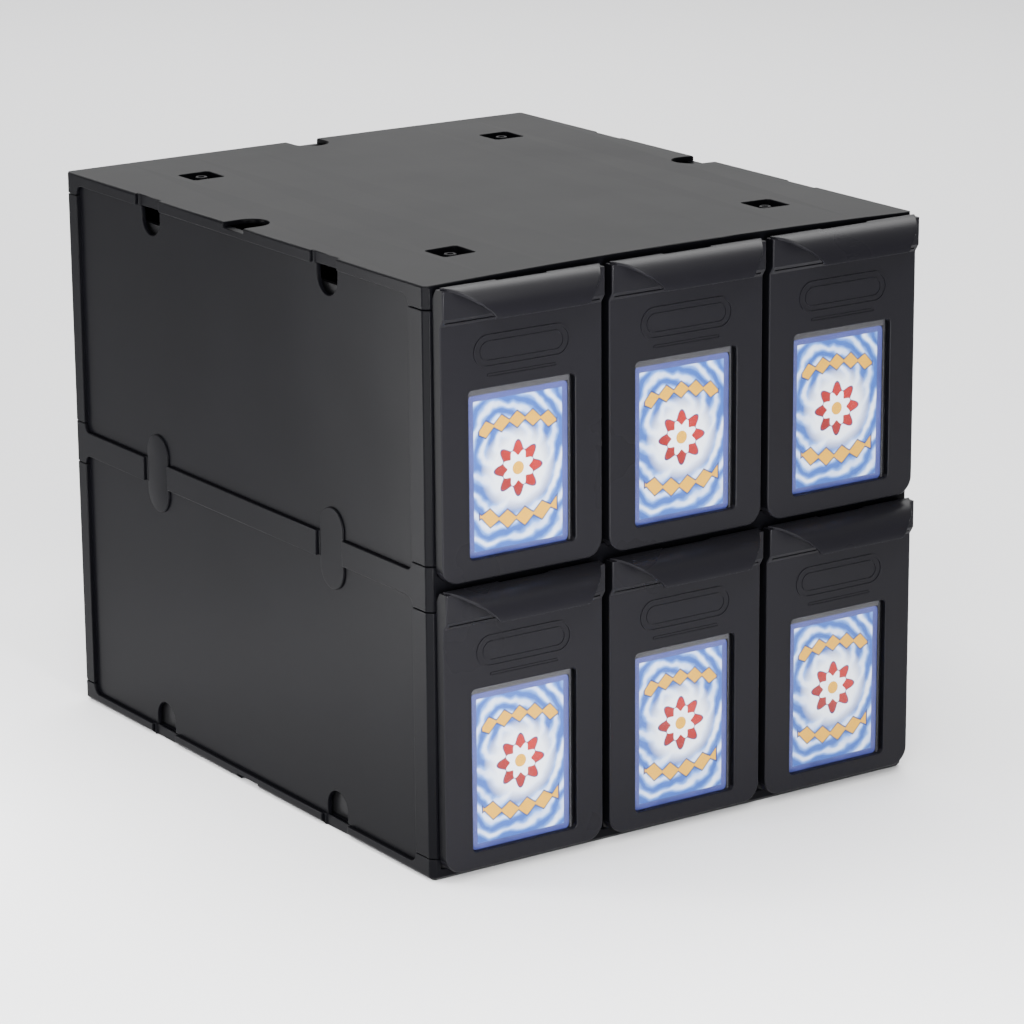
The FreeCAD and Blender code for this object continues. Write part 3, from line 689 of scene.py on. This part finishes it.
def pullLip(s):
    bm = bmesh.new()
    grid = bmesh.ops.create_grid(bm, x_segments=s["columns"], y_segments=s["rows"], size=0.5)["verts"]
    bendLip(s, grid)
    for _ in range(s["endPasses"]):
        ends = [v for v in grid if v.is_boundary]
        bmesh.ops.smooth_vert(bm, verts=ends, factor=s["endSmoothing"], use_axis_x=True, use_axis_y=False,
                              use_axis_z=False)
    notch = [f for f in bm.faces if f.calc_center_median().y > (-s["rear"] - s["notchLength"]) * mm
             and abs(f.calc_center_median().x) < s["notchWidth"] / 2 * mm]
    bmesh.ops.delete(bm, geom=notch, context="FACES")
    skin = bm.faces[:]
    if skin[0].normal.z < 0:
        bmesh.ops.reverse_faces(bm, faces=skin)
    bmesh.ops.solidify(bm, geom=skin, thickness=s["thickness"] * mm)
    bmesh.ops.recalc_face_normals(bm, faces=bm.faces)
    for face in bm.faces:
        face.smooth = True
    rims = [e for e in bm.edges
            if len(e.link_faces) == 2 and e.calc_face_angle(0.0) > math.radians(s["rimSharp"])]
    roundEdges(bm, rims, s["rimRound"], s["rimSegments"])
    for edge in bm.edges:
        edge.smooth = edge.calc_face_angle(0.0) < math.radians(s["creaseSharp"])
    lip = bpy.data.meshes.new("pullLip")
    bm.to_mesh(lip)
    bm.free()
    return lip


# a ring stretched to a pill and stood up against the face
def emboss(bm, s, outline):
    ring = bmesh.ops.create_circle(bm, cap_ends=True, segments=s["segments"],
                                   radius=outline["tall"] / 2 * mm)["verts"]
    slide = (outline["width"] - outline["tall"]) / 2 * mm
    for v in ring:
        if not near(v.co.x, 0):
            v.co.x += math.copysign(slide, v.co.x)
    face = ring[0].link_faces[0]
    bmesh.ops.inset_region(bm, faces=[face], thickness=outline["band"] * mm, use_even_offset=True,
                           use_boundary=True)
    bmesh.ops.delete(bm, geom=[face], context="FACES_ONLY")
    faces = list(dict.fromkeys(f for v in ring for f in v.link_faces))
    moved = newVerts(bmesh.ops.extrude_face_region(bm, geom=faces))
    bmesh.ops.translate(bm, vec=(0, 0, (outline["proud"] + s["sunk"]) * mm), verts=moved)
    base = [v for f in faces if f.is_valid for v in f.verts] + [v for v in ring if v.is_valid]
    shape = list(dict.fromkeys(base + moved))
    bmesh.ops.rotate(bm, matrix=Matrix.Rotation(math.pi / 2, 3, "X"), verts=shape)
    place = (0, (-frontShape["faceProud"] + s["sunk"]) * mm, outline["height"] * mm)
    bmesh.ops.translate(bm, vec=place, verts=shape)


def drawerFront(tierIndex, bay):
    tier = tierNames[tierIndex]
    drawer = "drawer_" + tier + "_" + bay
    name = tier.capitalize() + bay.capitalize()
    low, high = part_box(drawer + "_front")
    shift = Vector(((low.x + high.x) / 2, frontY * mm, tierIndex * tierPitch * mm))
    bm = bmesh.new()
    frontBody(bm, frontShape, tier)
    lip = pullLip(lipShape)
    bm.from_mesh(lip)
    bpy.data.meshes.remove(lip)
    bmesh.ops.translate(bm, vec=shift, verts=bm.verts)
    splitLarge(bm)
    front = finishPiece(bm, "front" + name, drawer, frontBlack, [drawer + "_front"])
    # painted shade: the front's side walls take the darker, less glossy cabinet black, the face keeps the
    # front black
    front.data.materials.append(cabinetBlack)
    for face in front.data.polygons:
        face.material_index = int(abs(face.normal.x) > frontShape["sideTurn"])

    marks = bmesh.new()
    for outline in badgeShape["outlines"]:
        emboss(marks, badgeShape, outline)
    bmesh.ops.recalc_face_normals(marks, faces=marks.faces)
    bmesh.ops.translate(marks, vec=shift, verts=marks.verts)
    finishPiece(marks, "badgeOutline" + name, drawer, frontBlack)


for tierIndex in range(len(tierNames)):
    for bay in bayNames:
        drawerFront(tierIndex, bay)
print("drawer fronts done")

flatSheets = {"_card": {"corner": 3.0, "map": "printMap", "slot": "card_print", "material": cardFace},
              "_window": {"corner": 1.5, "map": "paneMap", "slot": "window_pane", "material": windowClear}}
sheetSegments = 6


def flatSheet(drawer, part, sheet):
    low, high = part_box(drawer + part)
    cardLow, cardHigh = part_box(drawer + "_card")
    middle = (cardLow + cardHigh) / 2
    bm = bmesh.new()
    bmesh.ops.create_cube(bm, size=1.0)
    bmesh.ops.scale(bm, vec=high - low, verts=bm.verts)
    bmesh.ops.translate(bm, vec=(low + high) / 2, verts=bm.verts)
    corners = [e for e in bm.edges if abs(e.verts[0].co.y - e.verts[1].co.y) > (high.y - low.y) / 2]
    bmesh.ops.bevel(bm, geom=corners, offset=sheet["corner"] * mm, offset_type="OFFSET",
                    segments=sheetSegments, profile=0.5, affect="EDGES", material=-1)
    sheetMap = bm.loops.layers.uv.new(sheet["map"])
    for face in bm.faces:
        for loop in face.loops:
            place = (loop.vert.co - middle) / mm
            loop[sheetMap].uv = (place.x, place.z)
    name = part[1:] + "".join(word.capitalize() for word in drawer.split("_")[1:])
    finishPiece(bm, name, drawer, sheet["material"], [drawer + part])


for tier in tierNames:
    for bay in bayNames:
        drawer = "drawer_" + tier + "_" + bay
        for part, sheet in flatSheets.items():
            flatSheet(drawer, part, sheet)
        paintNode(drawer + "_tray", trayBlack)
print("cards, panes and trays done")

# pale studio: the world is bright behind the cabinet and dim in front of it
studio = {"floorHalf": 3.0, "floorDrop": 0.0005, "floorColour": (0.86, 0.86, 0.87), "floorRough": 0.9,
          "floorSpecular": 0.1, "worldFront": 0.12, "worldBehind": 0.98, "worldBlend": (-0.6, 0.3)}
# the two strips and the glow bring out the edges of the front left corner
softLights = {
    "overheadSoftbox": {"place": (0.0, -0.1, 2.0), "target": (0, -0.1, 0), "size": (1.6, 1.6), "watts": 64},
    "rearSoftbox": {"place": (1.0, 2.1, 1.75), "target": (0.9, 2.0, 0), "size": (3.2, 1.4), "watts": 60},
    "frontFill": {"place": (-1.3, -1.9, 1.7), "target": (0, -0.2, 0.2), "size": (0.9, 0.9), "watts": 60},
    "leftStrip": {"place": (-0.58, 0.2, 0.2), "target": (-0.162, -0.19, 0.2), "size": (0.2, 0.4), "watts": 6},
    "cornerGlow": {"place": (-0.64, -0.514, 0.2), "target": (-0.162, -0.19, 0.2), "size": (0.4, 0.42),
                   "watts": 5},
    "frontStrip": {"place": (-0.24, -0.95, 0.22), "target": (-0.17, -0.2, 0.22), "size": (0.14, 0.42),
                   "watts": 14},
}


def buildFloor():
    bm = bmesh.new()
    bmesh.ops.create_grid(bm, x_segments=1, y_segments=1, size=studio["floorHalf"])
    bmesh.ops.translate(bm, vec=(0, 0, -studio["floorDrop"]), verts=bm.verts)
    mesh = bpy.data.meshes.new("studioFloor")
    bm.to_mesh(mesh)
    bm.free()
    look = (studio["floorColour"], studio["floorRough"], studio["floorSpecular"])
    mesh.materials.append(newMaterial("paleFloor", *look)[0])
    floor = bpy.data.objects.new("studioFloor", mesh)
    bpy.context.scene.collection.objects.link(floor)


def buildWorld():
    world = bpy.data.worlds.new("paleStudio")
    bpy.context.scene.world = world
    world.use_nodes = True
    tree = world.node_tree
    background = tree.nodes["Background"]
    background.inputs["Color"].default_value = (1.0, 1.0, 1.0, 1.0)
    place = tree.nodes.new("ShaderNodeTexCoord")
    direction = tree.nodes.new("ShaderNodeSeparateXYZ")
    tree.links.new(place.outputs["Generated"], direction.inputs["Vector"])
    strength = rangeNode(tree, direction.outputs["Y"], *studio["worldBlend"], studio["worldFront"],
                         studio["worldBehind"])
    tree.links.new(strength, background.inputs["Strength"])


def softLight(name, light):
    data = bpy.data.lights.new(name, "AREA")
    data.shape = "RECTANGLE"
    data.size, data.size_y = light["size"]
    data.energy = light["watts"]
    lamp = bpy.data.objects.new(name, data)
    bpy.context.scene.collection.objects.link(lamp)
    lamp.location = light["place"]
    aim = Vector(light["target"]) - Vector(light["place"])
    lamp.rotation_euler = aim.to_track_quat("-Z", "Y").to_euler()


# place in mm, ahead of the cabinet's front, and the camera's own axes
cameraPose = {"lens": 144.56, "sensor": 36.0, "side": -1280.7, "ahead": 1725.5, "height": 787.35,
              "right": (0.82597, -0.56367, -0.00788), "up": (0.15984, 0.22076, 0.96215),
              "back": (-0.54059, -0.79596, 0.27243), "farthest": 20.0}


def buildCamera():
    data = bpy.data.cameras.new("camera")
    data.sensor_width = cameraPose["sensor"]
    data.lens = cameraPose["lens"]
    data.clip_end = cameraPose["farthest"]
    camera = bpy.data.objects.new("camera", data)
    bpy.context.scene.collection.objects.link(camera)
    turn = Matrix((cameraPose["right"], cameraPose["up"], cameraPose["back"])).transposed()
    place = Vector((cameraPose["side"], frontY - cameraPose["ahead"], cameraPose["height"])) * mm
    camera.matrix_world = Matrix.Translation(place) @ turn.to_4x4()
    bpy.context.scene.camera = camera


buildFloor()
buildWorld()
for name, light in softLights.items():
    softLight(name, light)
buildCamera()
print("studio ready")
